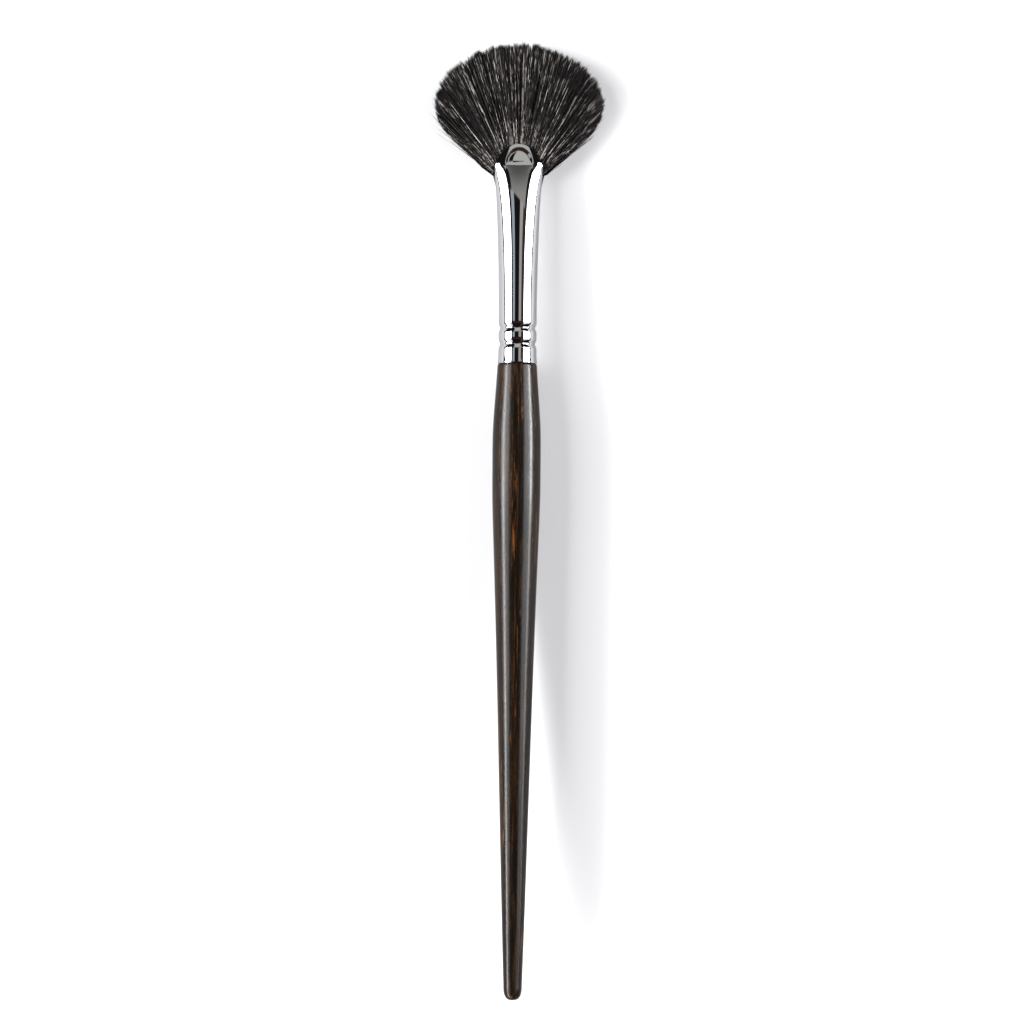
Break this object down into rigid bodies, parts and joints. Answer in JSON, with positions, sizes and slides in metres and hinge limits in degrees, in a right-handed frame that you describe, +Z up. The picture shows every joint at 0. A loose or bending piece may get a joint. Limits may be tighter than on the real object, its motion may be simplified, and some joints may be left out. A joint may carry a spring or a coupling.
{
  "type": "fan makeup brush",
  "caption": "Flat fan-shaped powder brush: a spread fan of hair in a crimped, flattened metal ferrule on a slim turned wooden handle.",
  "frame": {"origin": "on the surface that the brush lies on, under the middle of its length and width", "axes": "+Y along the brush from the tail of the handle to the hair, +X across the fan, +Z up, through its flat face"},
  "size_m": [0.0349, 0.2, 0.0104],
  "materials": {
    "lacquered_wood": "gloss",
    "plated_metal": "polished",
    "hair": "satin",
    "resin": "gloss",
    "thread": "matte"
  },
  "bodies": {
    "root": {"handle": "lacquered_wood", "ferrule": "plated_metal", "hair_fan": "hair", "resin_plug": "resin", "root_binding": "thread"}
  },
  "joints": []
}
